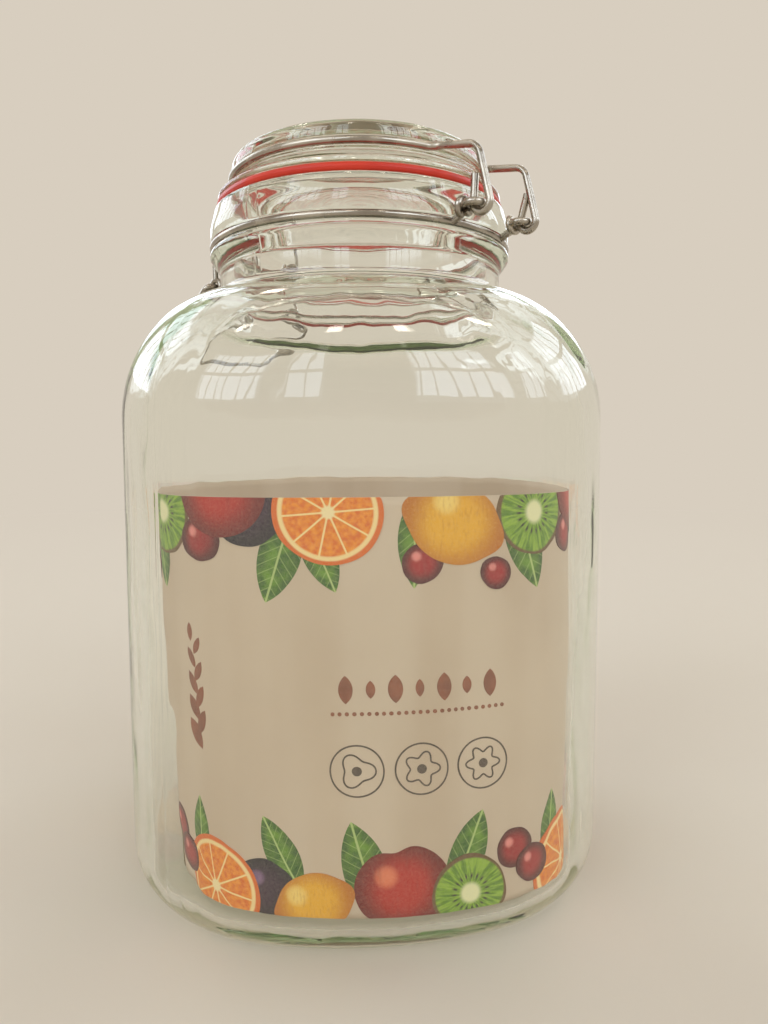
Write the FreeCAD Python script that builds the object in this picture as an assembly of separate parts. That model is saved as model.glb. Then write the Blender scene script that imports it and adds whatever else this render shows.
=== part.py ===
"""A three-litre clip-top jar: square glass body, round glass lid, rubber seal, wire hinge and wire clasp.

Frame: origin at the middle of the base, +Z up, body faces along X and Y, the label's front facing -Y.
The wire hinge stands over the +X -Y corner and the clasp over the opposite one, so all the wirework is
made in a frame of its own, with the hinge on +X and the clasp on -X, and is then turned into place.
"""
import FreeCAD, Part
import math
import os

os.makedirs("parts", exist_ok=True)

V = FreeCAD.Vector
UP = V(0, 0, 1)

# Glass body
BODY_WIDTH = 150.0          # across the middles of two opposite faces
CORNER_RADIUS = 53.0
FACE_RADIUS = 128.0         # the faces bulge softly
BASE_FILLET = 19.7
SHOULDER_Z = 144.8          # where the wall starts to lean in
SHOULDER_RISE = 39.3
SHOULDER_LEAD = 12.0        # height of straight wall that the shoulder's loft takes in
SHOULDER_SECTIONS = 6
WALL = 4.0
FLOOR = 6.0
FLOOR_FILLET = 12.4
PUNT_RADIUS = 43.0          # shallow dish under the base
PUNT_DEPTH = 2.4

# Glass neck and its finish
NECK_RADIUS = 45.6
NECK_FOOT = 3.2             # fillet where the neck meets the shoulder
MOUTH_RADIUS = 41.2
BEAD_RADIUS = 48.8
BEAD_Z = 197.0
BEAD_RISE = 4.4             # height over which the neck flares out to the bead
SEAT_RADIUS = 47.8          # between bead and bulge, where the wire ring sits in its groove
BULGE_RADIUS = 48.7
BULGE_Z = 204.4
LIP_RADIUS = 46.9
RIM_Z = 211.7
RIM_ROUND = 0.9
BEAD_ROUND = 1.8
BULGE_ROUND = 12.0

# Rubber seal
SEAL_INNER = 39.2
SEAL_OUTER = 46.2
SEAL_THICKNESS = 2.8
SEAL_ROUND = 1.2            # of its outer edge

# Glass lid
LID_FLANGE_RADIUS = 45.8
LID_FLANGE_THICKNESS = 1.5
LID_PLUG_RADIUS = 38.9
LID_PLUG_DEPTH = 3.6
LID_CROWN_RADIUS = 41.3
LID_CROWN_FOOT = 4.8        # height over which the flange draws in to the crown
LID_TOP_Z = 228.2
LID_DISH_RADIUS = 32.0
LID_DISH_DEPTH = 1.6
LID_DISH_SLOPE = 2.6        # width of the slope from the crown's edge into the dish
LID_SKIRT_WALL = 4.3
LID_ROOF = 4.5
LID_DOME = 8.0              # fillet of the hollow under the lid
LID_EDGE = 3.0              # rounding of the crown's upper edge
LID_SOFT = 1.4              # rounding of the lid's other edges
LID_FINE = 0.6

# Wirework
WIRE = 2.2                  # diameter of the two rings and the lever
BAIL_WIRE = 1.9
FIT = 0.1                   # gap between a ring and the glass groove that holds it
NECK_RING_RADIUS = 47.6
NECK_RING_Z = 200.0
LID_RING_RADIUS = 41.4
LID_RING_Z = 221.7
WIREWORK_AZIMUTH = -45.0    # turn of the wirework's own +X about Z
ARM_OFFSET = 12.4           # each hinge arm and eyelet from the middle plane
PIVOT_X = 56.0              # hinge and clasp pivots from the jar's axis
PIVOT_Z = 203.4
HOOK_RADIUS = 2.6           # centre line of every wire hook, eyelet and eye
ARM_LEAN = 12.0             # degrees that a hinge arm leans out as it drops
ARM_BEND = 3.3
EXIT_BEND = 4.1             # bend where a ring wire turns out of its groove
STUB_LENGTH = 8.5
STUB_LEANS = (15.0, 2.0)    # degrees, of the two hooks' free ends
WRAP_RADIUS = 1.9           # of the turns round an eyelet's root, on the wire's centre line
WRAP_PITCH = 2.4
WRAP_TURNS = 1.1
WRAP_START_X = 48.9
APEX_X = 49.5               # where the two sides of an eyelet's loop meet
RISER_FOOT = 0.6            # how far outside the ring's line the riser starts
RISER_TOP = (50.2, 202.0)   # x and z where the riser runs into the wrap

# Clasp
CATCH_HALF = 8.5
CATCH_X = 52.3
CATCH_BEND = 2.4
CRANK = 9.3                 # lever pivot to bail pivot
CRANK_ANGLE = -105.0        # of the crank when the clasp is shut
LEVER_HALF = 21.8
HANDLE_X = 72.5
HANDLE_Z = 177.4
LEVER_BENDS = (2.1, 2.1, 7.0)
BAIL_HALF = 17.9
BAIL_KNEE = 15.4            # from the bail's pivot to where its legs start to close in
BAIL_BENDS = (8.0, 3.0)
BAIL_TOP_HALF = 13.0
BAIL_TOP_X = 55.1
BAIL_TOP_Z = 223.9
BAIL_EYE_RADIUS = 2.45

# Paper insert
PAPER_THICKNESS = 0.4
PAPER_LOW = 10.5
PAPER_HIGH = 124.1
PAPER_INSETS = (11.2, 8.8)  # of its lower and upper edge, from the outside of the glass
PAPER_LEAN = 3.2            # shift of the lower edge towards +X, where the band has slipped

HALF = BODY_WIDTH / 2
OVERLAP = 0.5               # how far solids run into each other before they are joined


def polar(radius, degrees, centre=(0.0, 0.0)):
    """Point at an angle on a circle, as plane coordinates."""
    turn = math.radians(degrees)
    return centre[0] + radius * math.cos(turn), centre[1] + radius * math.sin(turn)


def rounded_square(z, half, corner, face, least_angle=37.5):
    """Eight tangent arcs: a square with bulging faces and round corners, which ends as a circle."""
    middle = half - face
    spread = (face - corner) ** 2
    reach = (2 * middle + math.sqrt(4 * middle ** 2 - 8 * (middle ** 2 - spread))) / 4
    if reach < 0.01:
        reach = 0.0
        angle = least_angle
    else:
        angle = math.degrees(math.atan2(reach, reach - middle))
    edges = []
    for quarter in range(4):
        turn = FreeCAD.Rotation(UP, 90 * quarter)
        spans = (
            (face, (middle, 0.0), -angle, angle),
            (corner, (reach, reach), angle, 90 - angle),
        )
        for radius, centre, start, end in spans:
            points = [polar(radius, a, centre) for a in (start, (start + end) / 2, end)]
            arc = Part.Arc(*[turn.multVec(V(x, y, z)) for x, y in points])
            edges.append(arc.toShape())
    return Part.Wire(edges)


def prism(low, high, inset):
    """Upright body of the jar's own section, set in from the outside."""
    section = rounded_square(low, HALF - inset, CORNER_RADIUS - inset, FACE_RADIUS - inset)
    return Part.Face(section).extrude(V(0, 0, high - low))


def fillet_base(solid, low, radius):
    """Rounds the lowest edges."""
    edges = [e for e in solid.Edges if e.BoundBox.ZMax < low + 0.01]
    return solid.makeFillet(radius, edges)


def shoulder(low, inset, neck, rise):
    """Loft from the square section to the round neck along a quarter ellipse."""
    sections = []
    for z in (low, (low + SHOULDER_Z) / 2):
        sections.append(rounded_square(z, HALF - inset, CORNER_RADIUS - inset, FACE_RADIUS - inset))
    for step in range(SHOULDER_SECTIONS + 1):
        lean = math.radians(90 * step / SHOULDER_SECTIONS)
        share = math.cos(lean) if step < SHOULDER_SECTIONS else 0.0
        half = neck + (HALF - inset - neck) * share
        corner = neck + (CORNER_RADIUS - inset - neck) * share
        face = 1 / ((1 - share) / neck + share / (FACE_RADIUS - inset))
        sections.append(rounded_square(SHOULDER_Z + rise * math.sin(lean), half, corner, face))
    return Part.makeLoft(sections, True, False)


def turned(corners):
    """Full turn about Z of a closed outline of (radius, height, rounding) corners."""
    points = [V(r, 0, z) for r, z, rounding in corners]
    edges = []
    here = None
    for index, (corner, (r, z, rounding)) in enumerate(zip(points, corners)):
        after = points[(index + 1) % len(points)]
        back = (points[index - 1] - corner).normalize()
        ahead = (after - corner).normalize()
        half_angle = back.getAngle(ahead) / 2
        reach = rounding / math.tan(half_angle)
        start = corner + back * reach
        end = corner + ahead * reach
        if here is not None:
            edges.append(Part.LineSegment(here, start).toShape())
        if rounding:
            inward = (back + ahead).normalize()
            mid = corner + inward * (rounding / math.sin(half_angle) - rounding)
            edges.append(Part.Arc(start, mid, end).toShape())
        here = end
    edges.append(Part.LineSegment(here, points[0]).toShape())
    return Part.Face(Part.Wire(edges)).revolve(V(0, 0, 0), UP, 360)


def groove(ring_radius, ring_z):
    """Ring of clearance that a wire ring needs in the glass."""
    return Part.makeTorus(ring_radius, WIRE / 2 + FIT, V(0, 0, ring_z), UP)


def glass_jar():
    """Pressed glass body with a clamp finish: bead, wire groove, bulge and sealing rim."""
    wall_low = SHOULDER_Z - SHOULDER_LEAD
    neck_low = SHOULDER_Z + SHOULDER_RISE
    core = MOUTH_RADIUS - WALL
    outside = fillet_base(prism(0, wall_low, 0), 0, BASE_FILLET)
    outside = outside.fuse(shoulder(wall_low, 0, NECK_RADIUS, SHOULDER_RISE))
    finish = turned([
        (core, neck_low - WALL, 0),
        (NECK_RADIUS, neck_low - WALL, 0),
        (NECK_RADIUS + NECK_FOOT, neck_low - OVERLAP, 0),
        (NECK_RADIUS, neck_low, NECK_FOOT * 0.85),
        (NECK_RADIUS, BEAD_Z - BEAD_RISE, BEAD_ROUND),
        (BEAD_RADIUS, BEAD_Z, BEAD_ROUND),
        (SEAT_RADIUS, NECK_RING_Z, 0),
        (BULGE_RADIUS, BULGE_Z, BULGE_ROUND),
        (LIP_RADIUS, RIM_Z, RIM_ROUND),
        (MOUTH_RADIUS, RIM_Z, RIM_ROUND),
        (MOUTH_RADIUS, RIM_Z - 2 * RIM_ROUND, 0),
        (core, RIM_Z - 2 * RIM_ROUND, 0),
    ])
    outside = outside.fuse(finish).cut(groove(NECK_RING_RADIUS, NECK_RING_Z))

    inner_rise = SHOULDER_RISE - WALL
    cavity = fillet_base(prism(FLOOR, wall_low, WALL), FLOOR, FLOOR_FILLET)
    cavity = cavity.fuse(shoulder(wall_low, WALL, MOUTH_RADIUS, inner_rise))
    mouth_low = SHOULDER_Z + inner_rise - OVERLAP
    bore = Part.makeCylinder(MOUTH_RADIUS, RIM_Z + WALL - mouth_low, V(0, 0, mouth_low))
    cavity = cavity.fuse(bore)
    sphere_radius = (PUNT_RADIUS ** 2 + PUNT_DEPTH ** 2) / (2 * PUNT_DEPTH)
    punt = Part.makeSphere(sphere_radius, V(0, 0, PUNT_DEPTH - sphere_radius))
    print("brimful litres", round(cavity.common(prism(0, RIM_Z, 0)).Volume / 1e6, 3))
    return outside.cut(cavity).cut(punt)


def seal():
    """Flat rubber ring, stretched round the lid's plug and lying on the rim."""
    high = RIM_Z + SEAL_THICKNESS
    return turned([
        (SEAL_INNER, RIM_Z, 0),
        (SEAL_OUTER, RIM_Z, SEAL_ROUND),
        (SEAL_OUTER, high, SEAL_ROUND),
        (SEAL_INNER, high, 0),
    ])


def glass_lid():
    """Pressed glass lid: flange, wire groove, crown with a dished top, and a plug that enters the mouth."""
    low = RIM_Z + SEAL_THICKNESS
    plug_low = low - LID_PLUG_DEPTH
    bore = LID_PLUG_RADIUS - LID_SKIRT_WALL
    dish = LID_TOP_Z - LID_DISH_DEPTH
    lid = turned([
        (0, dish - LID_ROOF, 0),
        (bore, dish - LID_ROOF, LID_DOME),
        (bore, plug_low, LID_SOFT),
        (LID_PLUG_RADIUS, plug_low, LID_SOFT),
        (LID_PLUG_RADIUS, low, 0),
        (LID_FLANGE_RADIUS, low, LID_FINE),
        (LID_FLANGE_RADIUS, low + LID_FLANGE_THICKNESS, LID_FINE),
        (LID_CROWN_RADIUS, low + LID_CROWN_FOOT, LID_SOFT),
        (LID_CROWN_RADIUS, LID_TOP_Z, LID_EDGE),
        (LID_DISH_RADIUS + LID_DISH_SLOPE, LID_TOP_Z, LID_SOFT),
        (LID_DISH_RADIUS, dish, LID_SOFT),
        (0, dish, 0),
    ])
    return lid.cut(groove(LID_RING_RADIUS, LID_RING_Z))


def line(start, end):
    return Part.LineSegment(V(*start), V(*end)).toShape()


def bent(points, radii):
    """Edges of a wire laid through points, each inner point rounded by its own bend radius."""
    points = [V(*p) for p in points]
    edges = []
    here = points[0]
    for before, corner, after, radius in zip(points, points[1:], points[2:], radii):
        back = (before - corner).normalize()
        ahead = (after - corner).normalize()
        half_angle = back.getAngle(ahead) / 2
        start = corner + back * (radius / math.tan(half_angle))
        end = corner + ahead * (radius / math.tan(half_angle))
        inward = (back + ahead).normalize()
        mid = corner + inward * (radius / math.sin(half_angle) - radius)
        edges.append(Part.LineSegment(here, start).toShape())
        edges.append(Part.Arc(start, mid, end).toShape())
        here = end
    edges.append(Part.LineSegment(here, points[-1]).toShape())
    return edges


def drawn(edges, diameter):
    """Round wire of one diameter along tangent edges."""
    path = Part.Wire(edges)
    first = path.OrderedEdges[0]
    start = path.OrderedVertexes[0].Point
    along = first.tangentAt(first.FirstParameter)
    profile = Part.Wire(Part.makeCircle(diameter / 2, start, along))
    return path.makePipeShell([profile], True, True)


def mirrored(shape):
    return shape.mirror(V(0, 0, 0), V(0, 1, 0))


def placed(shape):
    """Turns finished wirework from its own frame into the jar's."""
    shape.rotate(V(0, 0, 0), UP, WIREWORK_AZIMUTH)
    return shape


def ring_exit(ring_radius, z, offset, bend):
    """Where a ring wire leaves its circle to run straight out: centre and both ends of the bend."""
    centre_x = math.sqrt((ring_radius + bend) ** 2 - (offset + bend) ** 2)
    centre = (centre_x, offset + bend)
    share = ring_radius / (ring_radius + bend)
    on_ring = (centre_x * share, centre[1] * share)
    toward = 180 + math.degrees(math.atan2(centre[1], centre_x))
    mid = polar(bend, (toward + 270) / 2, centre)
    return V(*on_ring, z), V(*mid, z), V(centre_x, offset, z)


def hinge_arm(stub_lean):
    """Half of the lid wire: from the catch's middle, round the ring, out, down and hooked up again."""
    z = LID_RING_Z
    on_ring, mid, out = ring_exit(LID_RING_RADIUS, z, ARM_OFFSET, EXIT_BEND)
    front_ring, front_mid, front_out = ring_exit(LID_RING_RADIUS, z, CATCH_HALF, EXIT_BEND)

    def front(point):
        return V(-point.x, point.y, point.z)

    catch = bent(
        [(-CATCH_X, 0, z), (-CATCH_X, CATCH_HALF, z), tuple(front(front_out))], [CATCH_BEND]
    )
    leave = Part.Arc(front(front_out), front(front_mid), front(front_ring)).toShape()
    side = Part.Arc(front(front_ring), V(0, LID_RING_RADIUS, z), on_ring).toShape()
    turn_out = Part.Arc(on_ring, mid, out).toShape()

    y = ARM_OFFSET
    centre = (PIVOT_X, PIVOT_Z)
    leg = polar(HOOK_RADIUS, ARM_LEAN, centre)
    corner_x = leg[0] - (z - leg[1]) * math.tan(math.radians(ARM_LEAN))
    arm = bent([tuple(out), (corner_x, y, z), (leg[0], y, leg[1])], [ARM_BEND])
    stub_angle = -180 - stub_lean
    bottom = polar(HOOK_RADIUS, (ARM_LEAN + stub_angle) / 2, centre)
    root = polar(HOOK_RADIUS, stub_angle, centre)
    hook = Part.Arc(V(leg[0], y, leg[1]), V(bottom[0], y, bottom[1]), V(root[0], y, root[1])).toShape()
    tip = polar(STUB_LENGTH, 90 - stub_lean, root)
    stub = line((root[0], y, root[1]), (tip[0], y, tip[1]))
    return drawn(catch + [leave, side, turn_out] + arm + [hook, stub], WIRE)


def lid_wire():
    """Spring wire round the lid, with the catch in front and the two hooked hinge arms behind."""
    right, left = [hinge_arm(lean) for lean in STUB_LEANS]
    return placed(right.fuse(mirrored(left)))


def eyelet():
    """Wrapped eyelet at +X: riser from the neck ring, wire wrapped round the root, and a teardrop loop."""
    y = ARM_OFFSET
    foot_x = math.sqrt(NECK_RING_RADIUS ** 2 - y ** 2)
    riser = drawn(
        [line((foot_x + RISER_FOOT, y, NECK_RING_Z), (RISER_TOP[0], y, RISER_TOP[1]))], WIRE
    )
    helix = Part.makeHelix(WRAP_PITCH, WRAP_TURNS * WRAP_PITCH, WRAP_RADIUS)
    profile = Part.Wire(Part.makeCircle(WIRE / 2, V(WRAP_RADIUS, 0, 0), V(0, 1, 0)))
    wrap = Part.Wire(helix).makePipeShell([profile], True, True)
    wrap.rotate(V(0, 0, 0), V(0, 1, 0), 90)
    wrap.translate(V(WRAP_START_X, y, PIVOT_Z))

    apex = (APEX_X, y, PIVOT_Z)
    loop_x = PIVOT_X - HOOK_RADIUS
    touch = math.degrees(math.acos(HOOK_RADIUS / (loop_x - apex[0])))
    first = polar(HOOK_RADIUS, 180 - touch, (loop_x, y)) + (PIVOT_Z,)
    last = polar(HOOK_RADIUS, 180 + touch, (loop_x, y)) + (PIVOT_Z,)
    arc = Part.Arc(V(*first), V(PIVOT_X, y, PIVOT_Z), V(*last)).toShape()
    loop = drawn([line(apex, first), arc], WIRE).fuse(drawn([line(last, apex)], WIRE))
    return riser.fuse([wrap, loop])


def neck_wire():
    """Wire ring in the neck groove, with two wrapped eyelets for the hinge and two for the clasp."""
    ring = Part.makeTorus(NECK_RING_RADIUS, WIRE / 2, V(0, 0, NECK_RING_Z), UP)
    one = eyelet()
    pair = [one, mirrored(one)]
    across = [piece.mirror(V(0, 0, 0), V(1, 0, 0)) for piece in pair]
    return placed(ring.fuse(pair + across))


def eye(x, y, z, radius, diameter):
    """Closed wire eye that turns about a line along Y."""
    return Part.makeTorus(radius, diameter / 2, V(x, y, z), V(0, 1, 0))


def clasp_lever():
    """Bent lever: eyes on the neck eyelets, a crank that carries the bail, and the handle."""
    pivot = (-PIVOT_X, PIVOT_Z)
    start = polar(HOOK_RADIUS, 180 - CRANK_ANGLE, pivot)
    knee = polar(CRANK, 180 - CRANK_ANGLE, pivot)
    half = bent([
        (start[0], ARM_OFFSET, start[1]),
        (knee[0], ARM_OFFSET, knee[1]),
        (knee[0], LEVER_HALF, knee[1]),
        (-HANDLE_X, LEVER_HALF, HANDLE_Z),
        (-HANDLE_X, 0, HANDLE_Z),
    ], LEVER_BENDS)
    side = drawn(half, WIRE).fuse(eye(-PIVOT_X, ARM_OFFSET, PIVOT_Z, HOOK_RADIUS, WIRE))
    return placed(side.fuse(mirrored(side)))


def clasp_bail():
    """Loop that stands up from the crank and comes over the lid wire's catch."""
    foot = polar(CRANK, 180 - CRANK_ANGLE, (-PIVOT_X, PIVOT_Z))
    rise = math.degrees(math.atan2(BAIL_TOP_Z - foot[1], -BAIL_TOP_X - foot[0]))
    start = polar(BAIL_EYE_RADIUS, rise, foot)
    bend = polar(BAIL_KNEE, rise, foot)
    half = bent([
        (start[0], BAIL_HALF, start[1]),
        (bend[0], BAIL_HALF, bend[1]),
        (-BAIL_TOP_X, BAIL_TOP_HALF, BAIL_TOP_Z),
        (-BAIL_TOP_X, 0, BAIL_TOP_Z),
    ], BAIL_BENDS)
    side = drawn(half, BAIL_WIRE).fuse(eye(foot[0], BAIL_HALF, foot[1], BAIL_EYE_RADIUS, BAIL_WIRE))
    return placed(side.fuse(mirrored(side)))


def paper_section(z, height_share, inset):
    """Outline of the paper at one of its edges, leaning by its share of the height."""
    low, high = PAPER_INSETS
    inset += low + (high - low) * height_share
    section = rounded_square(z, HALF - inset, CORNER_RADIUS - inset, FACE_RADIUS - inset)
    section.translate(V(PAPER_LEAN * (1 - height_share), 0, 0))
    return section


def label_insert():
    """Band of stiff paper that stands inside the jar, sprung out towards the glass all round."""
    edges = ((PAPER_LOW, 0), (PAPER_HIGH, 1))
    outside, inside = [
        Part.makeLoft([paper_section(z, share, inset) for z, share in edges], True, True)
        for inset in (0, PAPER_THICKNESS)
    ]
    return outside.cut(inside)


PIECES = {
    "glass_jar": glass_jar,
    "seal": seal,
    "glass_lid": glass_lid,
    "lid_wire": lid_wire,
    "neck_wire": neck_wire,
    "clasp_lever": clasp_lever,
    "clasp_bail": clasp_bail,
    "label_insert": label_insert,
}

for name, make in PIECES.items():
    shape = make().removeSplitter()
    solids = len(shape.Solids)
    print(f"{name:14s} solids {solids} valid {shape.isValid()} volume {shape.Volume / 1000:.2f} cm3")
    shape.exportStep(f"parts/{name}.step")
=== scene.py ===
"""Looks of the clip-top jar: clear wavy glass, orange-red rubber, bright wire and a printed paper band.

Everything is in metres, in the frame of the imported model: origin at the middle of the base, +Z up, the
front of the label facing -Y, the wire hinge over the +X -Y corner and the clasp over the opposite one.
"""

import math

import bpy
import numpy as np
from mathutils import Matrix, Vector, noise


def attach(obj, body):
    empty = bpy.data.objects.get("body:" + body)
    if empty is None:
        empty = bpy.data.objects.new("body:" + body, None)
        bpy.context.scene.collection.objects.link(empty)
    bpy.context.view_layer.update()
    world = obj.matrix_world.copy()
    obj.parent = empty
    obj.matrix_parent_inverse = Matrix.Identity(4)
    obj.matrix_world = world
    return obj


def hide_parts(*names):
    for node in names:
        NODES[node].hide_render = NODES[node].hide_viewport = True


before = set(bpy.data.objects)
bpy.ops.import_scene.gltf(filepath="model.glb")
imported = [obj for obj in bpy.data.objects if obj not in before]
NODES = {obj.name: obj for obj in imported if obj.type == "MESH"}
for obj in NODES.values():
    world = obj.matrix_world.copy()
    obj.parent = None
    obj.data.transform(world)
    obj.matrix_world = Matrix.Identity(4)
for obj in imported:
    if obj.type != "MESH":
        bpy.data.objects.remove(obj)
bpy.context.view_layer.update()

MM = 0.001
TURN = 2 * math.pi

# ---------------------------------------------------------------- sizes, in millimetres, as in the model
HALF = 75.0
CORNER_RADIUS = 53.0
FACE_RADIUS = 128.0
BASE_FILLET = 19.7
SHOULDER_Z = 144.8
SHOULDER_RISE = 39.3
WALL = 4.0
FLOOR = 6.0
FLOOR_FILLET = 12.4
PUNT_RADIUS = 43.0
PUNT_DEPTH = 2.4
NECK_RADIUS = 45.6
NECK_FOOT = 3.2
MOUTH_RADIUS = 41.2
BEAD_RADIUS = 48.8
BEAD_Z = 197.0
BEAD_RISE = 4.4
BEAD_ROUND = 1.8
SEAT_RADIUS = 47.8
BULGE_RADIUS = 48.7
BULGE_Z = 204.4
BULGE_ROUND = 12.0
LIP_RADIUS = 46.9
RIM_Z = 211.7
RIM_ROUND = 0.9
SEAL_INNER = 39.2
SEAL_OUTER = 46.2
SEAL_THICKNESS = 2.8
SEAL_ROUND = 1.2
LID_FLANGE_RADIUS = 45.8
LID_FLANGE_THICKNESS = 1.5
LID_PLUG_RADIUS = 38.9
LID_PLUG_DEPTH = 3.6
LID_CROWN_RADIUS = 41.3
LID_CROWN_FOOT = 4.8
LID_TOP_Z = 228.2
LID_DISH_RADIUS = 32.0
LID_DISH_DEPTH = 1.6
LID_DISH_SLOPE = 2.6
LID_SKIRT_WALL = 4.3
LID_ROOF = 4.5
LID_DOME = 8.0
LID_EDGE = 3.0
LID_SOFT = 1.4
LID_FINE = 0.6
NECK_RING = (47.6, 200.0)
LID_RING = (41.4, 221.7)
GROOVE = 1.2
PAPER_LOW = 10.5
PAPER_HIGH = 124.1
PAPER_INSETS = (11.2, 8.8)
PAPER_LEAN = 3.2
PAPER_THICKNESS = 0.4

# sizes that only the visual has, in millimetres
BREAK = 0.1                 # rounding of a corner that the model leaves sharp
FOOT_DROP = 0.3             # from the neck's low end to the edge of its foot
RING_GAP = 0.3              # least distance from the bore's corner to the shoulder's rings
BORE_ROUND = 8.0            # of the inner corner where the bore meets the shoulder
BORE_RUN = (12.0, 3.1)      # out and down from that corner to the shoulder's inner face
SEAM_HEIGHT = 0.05          # of the mould seams on the outside
SEAL_PRESS = 0.04           # how far the seal reaches into the glass above and below it
SEAL_LINE = (0.09, 0.14)    # height and half width of the mould line round the seal

# waviness of the glass and rubber: height, wavelengths along x, y and z, and seed
INNER_WAVES = ((0.40, (34, 34, 60), 3.1), (0.22, (9, 9, 130), 7.7), (0.05, (6, 6, 30), 1.3))
OUTER_WAVES = ((0.16, (42, 42, 90), 5.2),)
LID_LIFT = ((0.10, (16, 16, 9), 2.6),)
LID_SIDE = ((0.12, (11, 11, 9), 8.4),)
SEAL_WAVES = ((0.12, (14, 14, 20), 4.4),)


# ---------------------------------------------------------------- mesh helpers
TINY = 1e-6
VOLUME_STRIDE = 7       # every so many faces are enough to tell inside from outside
MIN_ARC_STEPS = 3
GROOVE_BIAS = 0.05      # keeps a point above a wire's centre on the glass side of it


def section_radius(theta, half, corner, face):
    """Polar radius at each angle of the rounded square with bulging faces; a circle when all three agree."""
    theta = np.asarray(theta, float)
    if abs(half - corner) < TINY:
        return np.full(theta.shape, half)
    middle = half - face
    reach = (2 * middle + math.sqrt(4 * middle ** 2 - 8 * (middle ** 2 - (face - corner) ** 2))) / 4
    joint = math.atan2(reach, reach - middle)
    join_angle = math.atan2(face * math.sin(joint), middle + face * math.cos(joint))
    folded = np.abs((theta + math.pi / 4) % (math.pi / 2) - math.pi / 4)
    on_face = middle * np.cos(folded) + np.sqrt(face ** 2 - (middle * np.sin(folded)) ** 2)
    along = reach * (np.cos(folded) + np.sin(folded))
    on_corner = along + np.sqrt(np.maximum(along ** 2 - 2 * reach ** 2 + corner ** 2, 0))
    return np.where(folded < join_angle, on_face, on_corner)


def add_object(name, data):
    thing = bpy.data.objects.new(name, data)
    bpy.context.scene.collection.objects.link(thing)
    return thing


def polar(radius, angles, height):
    """Points at angles round the axis, at one radius or one for each, and likewise for the height."""
    flat = np.zeros(len(angles))
    return np.stack([radius * np.cos(angles), radius * np.sin(angles), flat + height], -1)


def grid_object(name, rows, close_rows=False):
    """Mesh, facing outwards, from a stack of closed rings of points in mm. A ring of one point is a pole."""
    points = []
    starts = []
    for row in rows:
        starts.append(len(points))
        points.extend(row)
    faces = []
    count = len(rows)
    for i in range(count if close_rows else count - 1):
        j = (i + 1) % count
        a, b = starts[i], starts[j]
        n, m = len(rows[i]), len(rows[j])
        if n == 1:
            faces.extend((a, b + k, b + (k + 1) % m) for k in range(m))
        elif m == 1:
            faces.extend((b, a + (k + 1) % n, a + k) for k in range(n))
        else:
            faces.extend((a + k, b + k, b + (k + 1) % n, a + (k + 1) % n) for k in range(n))
    points = np.array(points, float) * MM
    sample = faces[::VOLUME_STRIDE]
    if sum(np.dot(points[f[0]], np.cross(points[f[1]], points[f[2]])) for f in sample) < 0:
        faces = [f[::-1] for f in faces]
    mesh = bpy.data.meshes.new(name)
    mesh.from_pydata(points.tolist(), [], faces)
    mesh.update()
    mesh.shade_smooth()
    return add_object(name, mesh)


def rounded_outline(corners, step):
    """Points along a polyline of (radius, height, rounding) corners, each rounded by its own arc."""
    points = [Vector((r, z)) for r, z, _ in corners]
    path = [points[0]]
    for before, corner, after, (_, _, rounding) in zip(points, points[1:], points[2:], corners[1:]):
        if not rounding:
            path.append(corner)
            continue
        back = (before - corner).normalized()
        ahead = (after - corner).normalized()
        half_angle = back.angle(ahead) / 2
        reach = rounding / math.tan(half_angle)
        centre = corner + (back + ahead).normalized() * rounding / math.sin(half_angle)
        start, end = corner + back * reach - centre, corner + ahead * reach - centre
        steps = max(MIN_ARC_STEPS, int(start.angle(end) * rounding / step))
        sweep = start.angle_signed(end)
        for k in range(steps + 1):
            turn = -sweep * k / steps
            path.append(centre + Vector((
                start.x * math.cos(turn) - start.y * math.sin(turn),
                start.x * math.sin(turn) + start.y * math.cos(turn),
            )))
    path.append(points[-1])
    fine = [path[0]]
    for here, there in zip(path, path[1:]):
        pieces = max(1, math.ceil((there - here).length / step))
        fine.extend(here.lerp(there, k / pieces) for k in range(1, pieces + 1))
    return [(p.x, p.y) for p in fine]


def carve(outline, ring):
    """Presses the groove of a wire ring into an outline."""
    centre = Vector(ring)
    out = []
    for p in outline:
        away = Vector(p) - centre
        if TINY < away.length < GROOVE:
            away = Vector((-abs(away.x) - GROOVE_BIAS, away.y)).normalized() * GROOVE
            out.append(tuple(centre + away))
        else:
            out.append(p)
    return out


def even_angles(count):
    return np.linspace(0, TURN, count, endpoint=False)


def waves(point, parts):
    """Sum of smooth noises, each of about its own height either way, at a point in mm."""
    x, y, z = point
    return sum(size * noise.noise(Vector((x / across + seed, y / deep - seed, z / up + 2 * seed)))
               for size, (across, deep, up), seed in parts)


# ---------------------------------------------------------------- glass body
SEAMS = (math.radians(225), math.radians(45))
SEAM_HALF = 0.006       # half width of a mould seam, in radians, at its foot
SEAM_CREST = 0.004      # a column this near to a seam, in radians, lies on its crest
SEAM_LOW = 2.0          # height above which the seams show
EVEN_COLUMNS = 250
JAR_COLUMNS = np.array(sorted(angle % TURN for angle in [
    *even_angles(EVEN_COLUMNS), *(seam + turn for seam in SEAMS for turn in (-SEAM_HALF, SEAM_HALF, 0.0))]))
FILLET_STEPS = 14
WALL_STEPS = 36
SHOULDER_STEPS = 30
BASE_STEPS = 24         # across the underside
FLOOR_STEPS = 16        # across the inner floor
FINISH_STEP = 0.55      # along the outline of the neck and bore
BORE_RINGS = 12         # the last rings of that outline, which wave as the inside does
NECK_LOW = SHOULDER_Z + SHOULDER_RISE
CALM_HEIGHT = 180.0     # above it the turned neck waves less than the blown body
INNER_CALM = 0.6
OUTER_CALM = 0.35
STILL_RADIUS = 30.0     # nearer the axis the base and floor don't wave


def ring(half, corner, face, z):
    return polar(section_radius(JAR_COLUMNS, half, corner, face), JAR_COLUMNS, z)


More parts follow.
